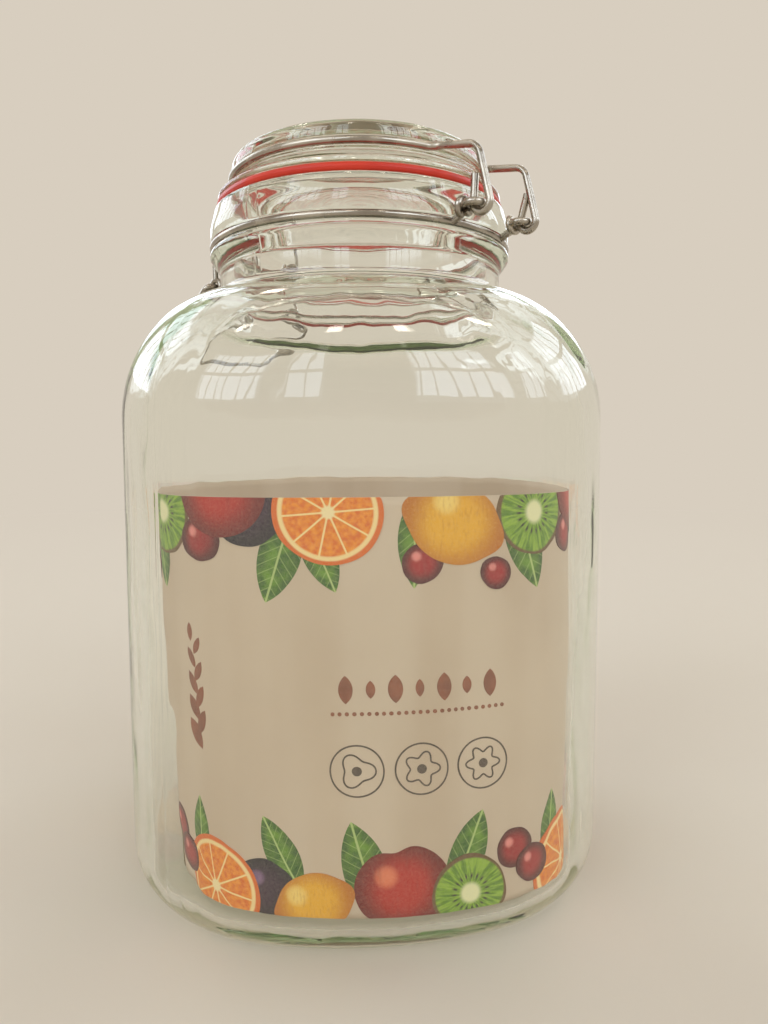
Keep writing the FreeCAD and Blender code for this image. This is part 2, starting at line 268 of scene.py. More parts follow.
def body_rings(low, half, corner, face, fillet, shoulder_rise, neck):
    """Rings from the start of the base fillet up to the neck."""
    rings = []
    for k in range(FILLET_STEPS + 1):
        a = math.pi / 2 * k / FILLET_STEPS
        inset = fillet * (1 - math.sin(a))
        rings.append(ring(half - inset, corner - inset, face - inset, low + fillet * (1 - math.cos(a))))
    wall_low = low + fillet
    for k in range(1, WALL_STEPS + 1):
        rings.append(ring(half, corner, face, wall_low + (SHOULDER_Z - wall_low) * k / WALL_STEPS))
    for k in range(1, SHOULDER_STEPS + 1):
        a = math.pi / 2 * k / SHOULDER_STEPS
        share = math.cos(a) if k < SHOULDER_STEPS else 0.0
        rings.append(ring(
            neck + (half - neck) * share, neck + (corner - neck) * share,
            1 / ((1 - share) / neck + share / face), SHOULDER_Z + shoulder_rise * math.sin(a),
        ))
    return rings


def base_rings(z, dish_radius, dish_depth, first, steps):
    """Rings from the axis out to the first ring of the fillet, dished upwards in the middle."""
    rings = [[(0.0, 0.0, z + dish_depth)]]
    radius = np.hypot(first[:, 0], first[:, 1])
    for k in range(1, steps):
        share = k / steps
        squareness = share ** 3
        mean = radius.min() * share
        r = mean * (1 - squareness) + radius * share * squareness
        rise = dish_depth * max(0.0, 1 - (mean / dish_radius) ** 2) if dish_depth else 0.0
        rings.append(polar(r, JAR_COLUMNS, z + rise))
    return rings


def beyond_radius(rings, limit):
    """Rings of the body up to where the radius of its shoulder falls to a limit."""
    return [row for row in rings if math.hypot(row[0][0], row[0][1]) > limit or row[0][2] < SHOULDER_Z]


def make_glass_jar():
    """Closed glass wall: outside from the base up and over the rim, then the inside down to the floor."""
    outside = body_rings(0.0, HALF, CORNER_RADIUS, FACE_RADIUS, BASE_FILLET, SHOULDER_RISE, NECK_RADIUS)
    below = base_rings(0.0, PUNT_RADIUS, PUNT_DEPTH, outside[0], BASE_STEPS)
    inside = body_rings(FLOOR, HALF - WALL, CORNER_RADIUS - WALL, FACE_RADIUS - WALL, FLOOR_FILLET,
                        SHOULDER_RISE - WALL, MOUTH_RADIUS)
    within = base_rings(FLOOR, 0, 0, inside[0], FLOOR_STEPS)
    run_out, run_down = BORE_RUN
    finish = carve(rounded_outline([
        (NECK_RADIUS + NECK_FOOT, NECK_LOW - FOOT_DROP, 0),
        (NECK_RADIUS, NECK_LOW, NECK_FOOT * 0.8),
        (NECK_RADIUS, BEAD_Z - BEAD_RISE, BEAD_ROUND),
        (BEAD_RADIUS, BEAD_Z, BEAD_ROUND),
        (SEAT_RADIUS, NECK_RING[1], BREAK),
        (BULGE_RADIUS, BULGE_Z, BULGE_ROUND),
        (LIP_RADIUS, RIM_Z, RIM_ROUND),
        (MOUTH_RADIUS, RIM_Z, RIM_ROUND),
        (MOUTH_RADIUS, NECK_LOW - WALL, BORE_ROUND),
        (MOUTH_RADIUS + run_out, NECK_LOW - WALL - run_down, 0),
    ], FINISH_STEP), NECK_RING)
    # the last rings of each shoulder give way to the finish, which draws the neck's foot and bore's corner
    outer = beyond_radius(outside, NECK_RADIUS + NECK_FOOT)
    inner = beyond_radius(inside, MOUTH_RADIUS + run_out + RING_GAP)
    rings = below + outer + [ring(r, r, r, z) for r, z in finish] + inner[::-1] + within[::-1]
    first_inner = len(below) + len(outer) + len(finish) - BORE_RINGS
    seam_turns = np.min([np.abs((JAR_COLUMNS - seam + math.pi) % TURN - math.pi) for seam in SEAMS], axis=0)
    made = []
    for index, row in enumerate(rings):
        row = np.array(row, float)
        radius = np.hypot(row[:, 0], row[:, 1])
        calm = row[0][2] > CALM_HEIGHT
        for k, point in enumerate(row.copy()):
            if radius[k] <= STILL_RADIUS:
                continue
            if index >= first_inner:
                push = waves(point, INNER_WAVES) * (INNER_CALM if calm else 1)
            else:
                push = waves(point, OUTER_WAVES) * (OUTER_CALM if calm else 1)
                if seam_turns[k] < SEAM_CREST and point[2] > SEAM_LOW:
                    push += SEAM_HEIGHT
            row[k, :2] *= 1 + push / radius[k]
        made.append(row)
    return grid_object("glass_jar_clear", made)


LID_COLUMNS = 288
LID_STEP = 0.6
ROOF_RIPPLE = (0.03, 1.9)       # height, and radians per mm of radius
ROOF_RIPPLE_FADE = 4.0          # width over which it dies out towards the skirt
TOP_RIPPLE = (0.02, 1.3)
LIFT_RADIUS = 34.0              # the dish and roof are wavy up to here
SIDE_RADIUS = 20.0              # and the sides from here out


def make_glass_lid():
    """Pressed lid: flange, wire groove, crown, dished top, and the hollow under its dome."""
    low = RIM_Z + SEAL_THICKNESS
    plug_low = low - LID_PLUG_DEPTH
    bore = LID_PLUG_RADIUS - LID_SKIRT_WALL
    dish = LID_TOP_Z - LID_DISH_DEPTH
    outline = carve(rounded_outline([
        (0, dish, 0),
        (LID_DISH_RADIUS, dish, LID_SOFT),
        (LID_DISH_RADIUS + LID_DISH_SLOPE, LID_TOP_Z, LID_SOFT),
        (LID_CROWN_RADIUS, LID_TOP_Z, LID_EDGE),
        (LID_CROWN_RADIUS, low + LID_CROWN_FOOT, LID_SOFT),
        (LID_FLANGE_RADIUS, low + LID_FLANGE_THICKNESS, LID_FINE),
        (LID_FLANGE_RADIUS, low, LID_FINE),
        (LID_PLUG_RADIUS, low, BREAK),
        (LID_PLUG_RADIUS, plug_low, LID_SOFT),
        (bore, plug_low, LID_SOFT),
        (bore, dish - LID_ROOF, LID_DOME),
        (0, dish - LID_ROOF, 0),
    ], LID_STEP), LID_RING)
    angles = even_angles(LID_COLUMNS)
    rings = []
    for r, z in outline:
        if r == 0:
            rings.append([(0.0, 0.0, z)])
        if r < LID_STEP / 2:
            continue
        ripple = 0.0
        to_skirt = bore - 1 - r
        if z < dish - 1 and to_skirt > 0:
            height, turn = ROOF_RIPPLE
            ripple = height * math.sin(r * turn) * min(1.0, to_skirt / ROOF_RIPPLE_FADE)
        elif z > dish - 1 and r < LID_DISH_RADIUS - 1:
            height, turn = TOP_RIPPLE
            ripple = height * math.sin(r * turn)
        row = polar(r, angles, z)
        lift = np.array([waves(point, LID_LIFT) for point in row]) + ripple if r < LIFT_RADIUS else 0.0
        # the flange and the crown's side stay true, where the seal and the wire bear on them
        on_seat = z > low - 0.2 and r > LID_CROWN_RADIUS - 0.3
        if r > SIDE_RADIUS and not on_seat:
            row[:, :2] *= 1 + np.array([[waves(point, LID_SIDE)] for point in row]) / r
        row[:, 2] += lift
        rings.append(row)
    return grid_object("glass_lid_clear", rings)


SEAL_COLUMNS = 256
SEAL_STEP = 0.35
SEAL_FACE = 0.4         # the mould line lies this near to the seal's full radius


def make_seal():
    """Flat rubber ring, pressed just into the glass on both sides so that its red shows in the rim."""
    low = RIM_Z - SEAL_PRESS
    high = RIM_Z + SEAL_THICKNESS + SEAL_PRESS
    outline = rounded_outline([
        (SEAL_INNER, high, 0),
        (SEAL_INNER, low, BREAK),
        (SEAL_OUTER, low, SEAL_ROUND),
        (SEAL_OUTER, high, SEAL_ROUND),
        (SEAL_INNER, high, 0),
    ], SEAL_STEP)[:-1]
    angles = even_angles(SEAL_COLUMNS)
    line_height, line_half = SEAL_LINE
    rings = []
    for r, z in outline:
        if r > SEAL_OUTER - SEAL_FACE and abs(z - (low + high) / 2) < line_half:
            r += line_height
        row = polar(r, angles, z)
        if r > SEAL_OUTER - SEAL_ROUND:
            row = polar(r + np.array([waves(point, SEAL_WAVES) for point in row]), angles, z)
        rings.append(row)
    return grid_object("rubber_seal", rings, close_rows=True)


# ---------------------------------------------------------------- lid wire
HINGE_AZIMUTH = math.radians(-45)
ARM_START = 42.0        # distance from the axis at which the arms start to droop
ARM_REACH = 15.0        # and how much farther they reach
ARM_DROOP = 3.2
DROOP_POWER = 1.3
HOOK_TOP = 207.0        # below it the hooks stay where they are


def make_lid_wire():
    """The modelled wire with its two hinge arms sprung a little downwards from the ring to their corners."""
    node = NODES["lid_wire"]
    mesh = node.data.copy()
    mesh.name = "lid_wire_sprung"
    mesh.transform(node.matrix_world)
    places = np.empty(len(mesh.vertices) * 3)
    mesh.vertices.foreach_get("co", places)
    places = places.reshape(-1, 3) / MM
    outward = places[:, 0] * math.cos(HINGE_AZIMUTH) + places[:, 1] * math.sin(HINGE_AZIMUTH)
    along = np.clip((outward - ARM_START) / ARM_REACH, 0, 1)
    above = np.clip((places[:, 2] - HOOK_TOP) / (LID_RING[1] - HOOK_TOP), 0, 1)
    places[:, 2] -= ARM_DROOP * along ** DROOP_POWER * above * above * (3 - 2 * above)
    mesh.vertices.foreach_set("co", (places * MM).ravel())
    mesh.update()
    mesh.shade_smooth()
    return add_object("lid_wire_sprung", mesh)


# ---------------------------------------------------------------- paper band
PAPER_COLUMNS = 320
PAPER_ROWS = 46


def paper_point(theta, z, outward=0.0):
    """Points of the paper's outer face at angles and heights, pushed outward by a distance, in mm."""
    theta = np.asarray(theta, float)
    share = (z - PAPER_LOW) / (PAPER_HIGH - PAPER_LOW)
    low, high = PAPER_INSETS
    inset = low + (high - low) * share - outward
    r = section_radius(theta, HALF - inset, CORNER_RADIUS - inset, FACE_RADIUS - inset)
    x = r * np.cos(theta) + PAPER_LEAN * (1 - share)
    return np.stack([x, r * np.sin(theta), np.full(theta.shape, z)], -1)


def make_paper():
    """The band itself, with two faces and thin edges."""
    angles = even_angles(PAPER_COLUMNS)
    heights = np.linspace(PAPER_LOW, PAPER_HIGH, PAPER_ROWS)
    outer = [paper_point(angles, z) for z in heights]
    inner = [paper_point(angles, z, -PAPER_THICKNESS) for z in heights]
    return grid_object("paper_band", outer + inner[::-1], close_rows=True)


# ---------------------------------------------------------------- print on the paper
FRONT = 1.5 * math.pi
ROUND = np.linspace(0, TURN, 1441)      # angles a quarter of a degree apart, and the girth up to each
MIDDLE = paper_point(ROUND, (PAPER_LOW + PAPER_HIGH) / 2)
ARC = np.concatenate([[0], np.cumsum(np.linalg.norm(np.diff(MIDDLE, axis=0), axis=1))])
GIRTH = ARC[-1]
FRONT_ARC = np.interp(FRONT, ROUND, ARC)
GRAIN = 1.15            # spacing of a motif's points, in mm
INK = 0.06              # thickness of a layer of ink
BACK = -PAPER_THICKNESS / 2
EDGE_MARGIN = 0.03      # between a motif that runs off the paper and the paper's edge
HUB = 0.01              # share of a motif's size at which its middle is closed
MIN_SPOKES = 12
MIN_RINGS = 3
LOOP_UNIT = 10.0        # of a loop's local coordinates, in mm


def theta_at(along):
    """Angle at a distance along the paper to the right of the middle of its front, in mm."""
    return np.interp((along + FRONT_ARC) % GIRTH, ARC, ROUND)


class Ink:
    """Printed motifs in one set of inks, gathered into one thin piece that hugs the paper."""

    def __init__(self, name, made):
        self.name = name
        self.material = made
        self.points = []
        self.faces = []
        self.local = []

    def rows(self, centre, unit, rows, lifts, capped):
        """Adds rings of (along, up) offsets in mm, each at its own lift from the paper.

        The ends are capped, or else joined to one another. The local coordinates are the offsets over unit.
        """
        first = len(self.points)
        width = len(rows[0])
        for row, lift in zip(rows, lifts):
            row = np.asarray(row, float)
            up = np.clip(centre[1] + row[:, 1], PAPER_LOW + EDGE_MARGIN, PAPER_HIGH - EDGE_MARGIN)
            angles = theta_at(centre[0] + row[:, 0])
            for angle, z in zip(angles, up):
                self.points.append(paper_point(angle, z, lift))
            self.local.extend(np.stack([row[:, 0], up - centre[1]], -1) / unit)
        for i in range(len(rows) - 1):
            a, b = first + i * width, first + (i + 1) * width
            self.faces.extend((a + k, a + (k + 1) % width, b + (k + 1) % width, b + k) for k in range(width))
        last = first + (len(rows) - 1) * width
        if capped:
            self.faces.append(tuple(first + k for k in reversed(range(width))))
            self.faces.append(tuple(last + k for k in range(width)))
        else:
            self.faces.extend((last + k, last + (k + 1) % width, first + (k + 1) % width, first + k)
                              for k in range(width))

    def blob(self, along, up, size, outline, turn=0.0, layer=0):
        """A filled motif. outline gives the radius over size at each angle of the unturned motif."""
        angles = even_angles(2 * max(MIN_SPOKES, int(math.pi * size / GRAIN)))
        rings = max(MIN_RINGS, int(size / GRAIN))
        edge = polar(size * outline(angles), angles + turn, 0.0)[:, :2]
        shares = [k / rings for k in range(rings, 0, -1)] + [HUB]
        rows = [edge * share for share in shares[::-1] + shares]
        lifts = [BACK] * len(shares) + [INK * (layer + 1)] * len(shares)
        start = len(self.local)
        self.rows((along, up), size, rows, lifts, True)
        back = np.array([[math.cos(turn), math.sin(turn)], [-math.sin(turn), math.cos(turn)]])
        self.local[start:] = list(np.array(self.local[start:]) @ back.T)

    def loop(self, along, up, path, width, layer=0):
        """An outline of even width along a closed path of (along, up) offsets."""
        path = np.asarray(path, float)
        ahead = np.roll(path, -1, 0) - np.roll(path, 1, 0)
        side = np.stack([ahead[:, 1], -ahead[:, 0]], -1) / np.linalg.norm(ahead, axis=1)[:, None] * width / 2
        lift = INK * (layer + 1)
        rows = [path + side, path + side, path - side, path - side]
        self.rows((along, up), LOOP_UNIT, rows, [BACK, lift, lift, BACK], False)

    def make(self):
        mesh = bpy.data.meshes.new(self.name)
        mesh.from_pydata((np.array(self.points) * MM).tolist(), [], self.faces)
        layer = mesh.uv_layers.new(name="motif")
        corners = np.empty(len(mesh.loops), int)
        mesh.loops.foreach_get("vertex_index", corners)
        layer.data.foreach_set("uv", np.array(self.local)[corners].ravel())
        mesh.update()
        thing = add_object(self.name, mesh)
        dress(thing, self.material)
        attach(thing, "jar")


PATH_POINTS = 96


def round_shape(angles):
    return np.ones(len(angles))


def lumpy(seed, amount=0.03):
    """A circle with soft lumps of about an amount of its radius."""
    def shape(angles):
        return 1 + amount * (np.sin(2 * angles + seed) + 0.7 * np.sin(3 * angles + 2.3 * seed)
                             + 0.35 * np.sin(7 * angles + seed))
    return shape


def apple_shape(angles):
    """A circle with a dip at the stem."""
    return 1 - 0.16 * np.exp(-((angles - math.pi / 2) / 0.32) ** 2) + 0.03 * np.cos(2 * angles)


def lemon_shape(angles):
    """An oval with a small tip at either end."""
    tip = np.abs(np.cos(angles))
    return 0.76 + 0.12 * tip ** 2 + 0.16 * tip ** 18


def leaf_shape(width):
    """A pointed leaf along its own x axis, between two equal arcs."""
    away = (1 + width ** 2) / (2 * width) - width

    def shape(angles):
        rise = np.abs(np.sin(angles)) * away
        return np.sqrt(rise ** 2 + 1) - rise
    return shape


def star_path(radius, points, depth):
    """A closed path with soft points, or a circle where their depth is 0."""
    angles = even_angles(PATH_POINTS)
    return polar(radius * (1 + depth * np.cos(points * angles)), angles, 0.0)[:, :2]


# Each border is drawn four times round the jar. Its rows are ink, place along it as a percentage, height from
# the paper's edge, size, turn, shape and layer.
TOP_BORDER = (
    ("leafy", 6, -15, 13.0, -1.9, leaf_shape(0.42), 0),
    ("leafy", 16, -14, 11.0, -1.15, leaf_shape(0.40), 1),
    ("plum", -2, -3, 10.0, 0.3, lumpy(1.0), 2),
    ("citrus", 19, -3, 14.5, 0.2, lumpy(2.0, 0.012), 3),
    ("leafy", 37, -12, 12.0, -1.7, leaf_shape(0.34), 0),
    ("cherry", 40, -17, 5.4, 0.0, lumpy(0.4), 1),
    ("lemon", 48, -7, 14.0, -0.35, lemon_shape, 2),
    ("leafy", 66, -12, 14.5, -1.35, leaf_shape(0.40), 0),
    ("kiwi", 71, -4, 12.5, 0.9, lumpy(3.0, 0.02), 1),
    ("cherry", 84, -12, 6.0, 0.0, lumpy(1.7), 2),
    ("cherry", 59, -20, 4.6, 0.0, lumpy(2.7), 3),
    ("apple", 91, 1, 12.0, 0.15, apple_shape, 3),
)
BOTTOM_BORDER = (
    ("leafy", 2, 14, 14.0, 1.8, leaf_shape(0.42), 0),
    ("apple", 12, 9, 13.0, 0.25, apple_shape, 1),
    ("leafy", 27, 15, 13.0, 1.1, leaf_shape(0.38), 0),
    ("kiwi", 30, 6, 11.5, 0.2, lumpy(4.2, 0.02), 2),
    ("cherry", 41, 15, 5.6, 0.0, lumpy(0.9), 1),
    ("cherry", 48, 10, 5.8, 0.0, lumpy(2.2), 3),
    ("leafy", 55, 17, 12.0, 1.5, leaf_shape(0.32), 0),
    ("citrus", 61, 5, 14.0, 1.1, lumpy(5.0, 0.012), 2),
    ("plum", 77, 8, 9.0, 0.0, lumpy(3.1), 1),
    ("leafy", 80, 17, 11.0, 1.9, leaf_shape(0.4), 0),
    ("lemon", 90, 5, 12.0, 0.5, lemon_shape, 3),
)
BORDERS = ((TOP_BORDER, PAPER_HIGH, -31.0), (BOTTOM_BORDER, PAPER_LOW, -8.0))
REPEATS = 4
# how far each motif strays from its row, and how the stray runs along a border and round the jar
VARY_ALONG, VARY_UP, VARY_SIZE, VARY_TURN = 1.2, 0.8, 0.05, 0.12
VARY_STEPS = (3.7, 1.9)

# plain ornament on the front and back: places along and up the paper, sizes and spacings, in mm
ORNAMENT_SHIFT = 10.0
ROW_UP, ROW_SPACING, ROW_SIZES = 74.0, 6.4, (2.4, 3.8)
DOTS_UP, DOTS_SPACING, DOT_SIZE = 67.5, 1.9, 0.55
SPRIG_PLACE, SPRIG_SPACING, SPRIG_LEAVES = (-63.0, 58.0), 3.6, 9
SPRIG_SIZE, SPRIG_TAPER, SPRIG_BEND, SPRIG_WIDTH = 4.6, 0.25, 0.5, 2.6
EMBLEM_UP, EMBLEM_SPACING, EMBLEM_LINE = 52.0, 17.0, 0.45
EMBLEM_RING, EMBLEM_FLOWER, EMBLEM_HEART, EMBLEM_DEPTH = 7.0, 4.0, 1.3, 0.22
PETALS = (3, 5, 6)


# name, sRGB of the body, edge and light, and the scale of the streaks
FRUITS = (
    ("lemon", (236, 170, 26), (190, 108, 8), (250, 214, 120), 1560.0),
    ("apple", (184, 32, 16), (110, 12, 8), (236, 132, 92), 420.0),
    ("cherry", (164, 16, 22), (76, 6, 12), (240, 150, 140), 240.0),
    ("plum", (52, 22, 44), (20, 8, 20), (140, 104, 140), 360.0),
)


def make_ornament(rust, dark, centre):
    """A row of small leaves over a dotted line, a sprig to their left, and three ringed flower outlines."""
    for k in range(-3, 4):
        rust.blob(centre + ROW_SPACING * k, ROW_UP, ROW_SIZES[k % 2], leaf_shape(0.5), math.pi / 2)
    for k in range(-12, 13):
        rust.blob(centre + DOTS_SPACING * k, DOTS_UP, DOT_SIZE, round_shape)
    along, up = SPRIG_PLACE
    for k in range(SPRIG_LEAVES):
        bend = SPRIG_BEND if k % 2 else -SPRIG_BEND
        turn = math.pi / 2 - (bend if k < SPRIG_LEAVES - 1 else 0)
        rust.blob(centre + along + SPRIG_WIDTH * bend, up + SPRIG_SPACING * k, SPRIG_SIZE - SPRIG_TAPER * k,
                  leaf_shape(0.4), turn)
    for k, petals in zip((-1, 0, 1), PETALS):
        here = centre + EMBLEM_SPACING * k
        dark.loop(here, EMBLEM_UP, star_path(EMBLEM_RING, 0, 0.0), EMBLEM_LINE)
        dark.loop(here, EMBLEM_UP, star_path(EMBLEM_FLOWER, petals, EMBLEM_DEPTH), EMBLEM_LINE)
        dark.blob(here, EMBLEM_UP, EMBLEM_HEART, round_shape)


def make_print():
    """Two borders of plain fruit and leaves, and a small plain ornament between them on two sides."""
    inks = {key: Ink(name, made) for key, name, made in (
        ("citrus", "print_citrus", citrus_material()),
        ("kiwi", "print_kiwi", kiwi_material()),
        *((fruit, "print_" + fruit, fruit_material(fruit, *look)) for fruit, *look in FRUITS),
        ("leafy", "print_leaves", leaf_material()),
        ("rust", "print_ornament", ink_material("rust_ink", (150, 84, 56))),
        ("dark", "print_emblems", ink_material("dark_ink", (92, 74, 62))),
    )}
    pitch = GIRTH / REPEATS
    for repeat in range(REPEATS):
        for border, edge, shift in BORDERS:
            for index, (ink, along, up, size, turn, shape, layer) in enumerate(border):
                vary = math.sin(VARY_STEPS[0] * index + VARY_STEPS[1] * repeat)
                here = shift + repeat * pitch + along * pitch / 100 + VARY_ALONG * vary
                inks[ink].blob(here, edge + up + VARY_UP * vary, size * (1 + VARY_SIZE * vary), shape,
                               turn + VARY_TURN * vary, layer)
        if repeat % 2 == 0:
            make_ornament(inks["rust"], inks["dark"], ORNAMENT_SHIFT + repeat * pitch)
    for ink in inks.values():
        ink.make()


# ---------------------------------------------------------------- materials
class Shader:
    """Short hand for building a node tree."""

    def __init__(self, tree):
        self.tree = tree
        self.tree.nodes.clear()

    def add(self, kind, values=(), **settings):
        node = self.tree.nodes.new(kind)
        for key, value in settings.items():
            setattr(node, key, value)
        for key, value in dict(values).items():
            socket = node.inputs[key]
            if isinstance(value, bpy.types.NodeSocket):
                self.tree.links.new(value, socket)
            else:
                socket.default_value = value
        return node

    def math(self, operation, a, b=0.0, c=0.0):
        return self.add("ShaderNodeMath", {0: a, 1: b, 2: c}, operation=operation).outputs[0]

    def mix(self, factor, a, b):
        return self.add("ShaderNodeMix", {0: factor, 6: a, 7: b}, data_type="RGBA").outputs[2]

    def noise(self, vector, scale, detail=2.0):
        return self.add("ShaderNodeTexNoise", {
            "Vector": vector, "Scale": scale, "Detail": detail}).outputs["Fac"]

    def ramp(self, value, low, high, out_low=0.0, out_high=1.0):
        """A smooth step from out_low, where value is at low, to out_high at high. Low may lie above high."""
        return self.add("ShaderNodeMapRange", {
            "Value": value, "From Min": low, "From Max": high, "To Min": out_low, "To Max": out_high,
        }, interpolation_type="SMOOTHSTEP").outputs[0]

    def mottle(self, clouds, first, second):
        """Two sRGB colours mixed by a noise."""
        return self.mix(self.ramp(clouds, 0.3, 0.7), linear(*first), linear(*second))

    def shader(self, kind, **values):
        """A shader node, its inputs named with underscores for spaces."""
        return self.add(kind, {key.replace("_", " "): value for key, value in values.items()}).outputs[0]

    def mix_shaders(self, factor, a, b):
        return self.add("ShaderNodeMixShader", {0: factor, 1: a, 2: b}).outputs[0]

    def surface(self, shader):
        self.add("ShaderNodeOutputMaterial", {"Surface": shader})

    def bump(self, height, strength, distance, normal=None):
        values = {"Height": height, "Strength": strength, "Distance": distance}
        if normal is not None:
            values["Normal"] = normal
        return self.add("ShaderNodeBump", values).outputs[0]

    def position(self, scale=(1.0, 1.0, 1.0)):
        where = self.add("ShaderNodeTexCoord").outputs["Object"]
        return self.add("ShaderNodeMapping", {"Vector": where, "Scale": scale}).outputs[0]


def material(name):
    made = bpy.data.materials.new(name)
    made.use_nodes = True
    return made, Shader(made.node_tree)


def linear(r, g, b):
    """Linear colour, with an alpha of 1, of an sRGB colour given in 0 to 255."""
    def channel(v):
        v /= 255
        return v / 12.92 if v <= 0.04045 else ((v + 0.055) / 1.055) ** 2.4
    return (channel(r), channel(g), channel(b), 1.0)


ALONG_AXIS = (1, 1, 0.3)        # stretches a noise upwards
GLASS_TINT = (0.978, 0.975, 0.96, 1.0)
GLASS_SHADOW_TINT = (0.95, 0.955, 0.94, 1.0)
GLASS_DEPTH_TINT = (0.70, 0.82, 0.62, 1.0)
PAPER_TONE = (205, 182, 158)
PAPER_DARK = (197, 173, 149)
# painted highlight: the paper's colour along the bands of its buckles
PAPER_PAINTED_HIGHLIGHT = (219, 199, 178)
PRINT_BLEED = (236, 222, 200)   # of the paper through the ink


def glass_material():
    """Clear glass. Shadow rays and light that bounces off what is inside pass through it unbent."""
    made, s = material("clear_glass")
    ripples = s.noise(s.position(ALONG_AXIS), 62.0)
    glass = s.shader(
        "ShaderNodeBsdfPrincipled", Base_Color=GLASS_TINT, Transmission_Weight=1.0, IOR=1.51, Roughness=0.0,
        Normal=s.bump(ripples, 0.11, 0.003))
    clear = s.shader("ShaderNodeBsdfTransparent", Color=GLASS_SHADOW_TINT)
    path = s.add("ShaderNodeLightPath").outputs
    bounced = s.mix_shaders(path["Is Diffuse Ray"], glass, clear)
    both = s.mix_shaders(path["Is Shadow Ray"], bounced, clear)
    depth = s.shader("ShaderNodeVolumeAbsorption", Color=GLASS_DEPTH_TINT, Density=18.0)
    s.add("ShaderNodeOutputMaterial", {"Surface": both, "Volume": depth})
    return made


def wire_material():
    made, s = material("bright_wire")
    fine = s.noise(s.position(), 900.0, 3.0)
    broad = s.noise(s.position(), 90.0)
    s.surface(s.shader(
        "ShaderNodeBsdfPrincipled",
        Base_Color=s.mix(s.ramp(broad, 0.35, 0.65), linear(150, 143, 133), linear(184, 176, 163)),
        Metallic=1.0, Roughness=s.ramp(broad, 0.3, 0.7, 0.16, 0.34), Normal=s.bump(fine, 0.18, 0.0002)))
    return made


def rubber_material():
    made, s = material("seal_rubber")
    cloud = s.noise(s.position(), 70.0, 3.0)
    grain = s.noise(s.position(), 1500.0)
    s.surface(s.shader(
        "ShaderNodeBsdfPrincipled", Base_Color=s.mottle(cloud, (188, 32, 4), (204, 44, 8)),
        Roughness=s.ramp(cloud, 0.2, 0.8, 0.36, 0.5), IOR=1.5, Normal=s.bump(grain, 0.2, 0.0001)))
    return made


def paper_material():
    """Matt paper with a fine grain, faint clouds, and upright buckles; a painted highlight lightens its
    colour along the buckles' bands.
    """
    made, s = material("label_paper")
    fibre = s.noise(s.position(ALONG_AXIS), 1400.0, 3.0)
    cloud = s.noise(s.position(), 24.0, 3.0)
    bands = s.noise(s.position((1, 1, 0.06)), 50.0)
    # painted highlight: the colour is lightened along the upright bands, the same bands that bump the buckles
    colour = s.mix(s.ramp(bands, 0.42, 0.62, 0.0, 0.35), s.mottle(cloud, PAPER_TONE, PAPER_DARK),
                   linear(*PAPER_PAINTED_HIGHLIGHT))
    s.surface(s.shader(
        "ShaderNodeBsdfPrincipled", Base_Color=colour, Roughness=0.72,
        Normal=s.bump(fibre, 0.12, 0.0001, s.bump(bands, 0.25, 0.0015))))
    return made


def motif(s):
    """A printed motif's local place, and its x and y. The motif's outline lies near a distance of 1."""
    where = s.add("ShaderNodeUVMap", uv_map="motif").outputs[0]
    parts = s.add("ShaderNodeSeparateXYZ", {0: where}).outputs
    return where, parts["X"], parts["Y"]


def distance(s, x, y):
    return s.math("SQRT", s.math("ADD", s.math("MULTIPLY", x, x), s.math("MULTIPLY", y, y)))


def near(s, value, target, width):
    """1 where value is at the target, falling to 0 at a width to either side."""
    return s.ramp(s.math("ABSOLUTE", s.math("SUBTRACT", value, target)), width, 0.0)


def printed(s, colour, rough=0.6):
    """Ink of a colour, with a little of the paper's grain in it."""
    grain = s.noise(s.position(), 1600.0)
    colour = s.mix(s.ramp(grain, 0.3, 0.8, 0.0, 0.06), colour, linear(*PRINT_BLEED))
    s.surface(s.shader("ShaderNodeBsdfPrincipled", Base_Color=colour, Roughness=rough))


def fruit_material(name, body, edge, light, streak_scale):
    """A rounded fruit: darker to its edge, a soft light on its upper left, fine speckles and streaks."""
    made, s = material(name)
    body, edge, light = linear(*body), linear(*edge), linear(*light)
    where, x, y = motif(s)
    colour = s.mix(s.ramp(distance(s, x, y), 0.35, 1.0), body, edge)
    shade = s.ramp(s.math("SUBTRACT", s.math("MULTIPLY", x, 0.4), s.math("MULTIPLY", y, 0.7)), 0.1, 0.9)
    colour = s.mix(s.math("MULTIPLY", shade, 0.45), colour, edge)
    from_light = s.math("ADD", s.math("POWER", s.math("ADD", x, 0.3), 2.0),
                        s.math("POWER", s.math("SUBTRACT", y, 0.34), 2.0))
    colour = s.mix(s.ramp(from_light, 0.10, 0.0, 0.0, 0.85), colour, light)
    dots = s.noise(where, 22.0)
    colour = s.mix(s.ramp(dots, 0.56, 0.72, 0.0, 0.2), colour, light)
    streaks = s.noise(s.position((1, 1, 0.25)), streak_scale)
    colour = s.mix(s.ramp(streaks, 0.5, 0.75, 0.0, 0.3), colour, edge)
    printed(s, colour, 0.5)
    return made


def citrus_material():
    """A slice of citrus: flesh, ten wedges' walls, a pale core and pith, and the peel."""
    made, s = material("citrus")
    where, x, y = motif(s)
    radius, angle = distance(s, x, y), s.math("ARCTAN2", y, x)
    flesh = s.mottle(s.noise(where, 9.0, 3.0), (226, 104, 8), (244, 150, 34))
    wedge = s.math("ABSOLUTE", s.math("SINE", s.math("MULTIPLY", angle, 5.0)))
    walls = s.ramp(s.math("MULTIPLY", wedge, radius), 0.13, 0.04)
    colour = s.mix(walls, flesh, linear(250, 216, 150))
    for low, high, tone in ((0.15, 0.09, (248, 222, 168)), (0.80, 0.85, (248, 214, 150)),
                            (0.89, 0.93, (222, 104, 20))):
        colour = s.mix(s.ramp(radius, low, high), colour, linear(*tone))
    printed(s, colour)
    return made


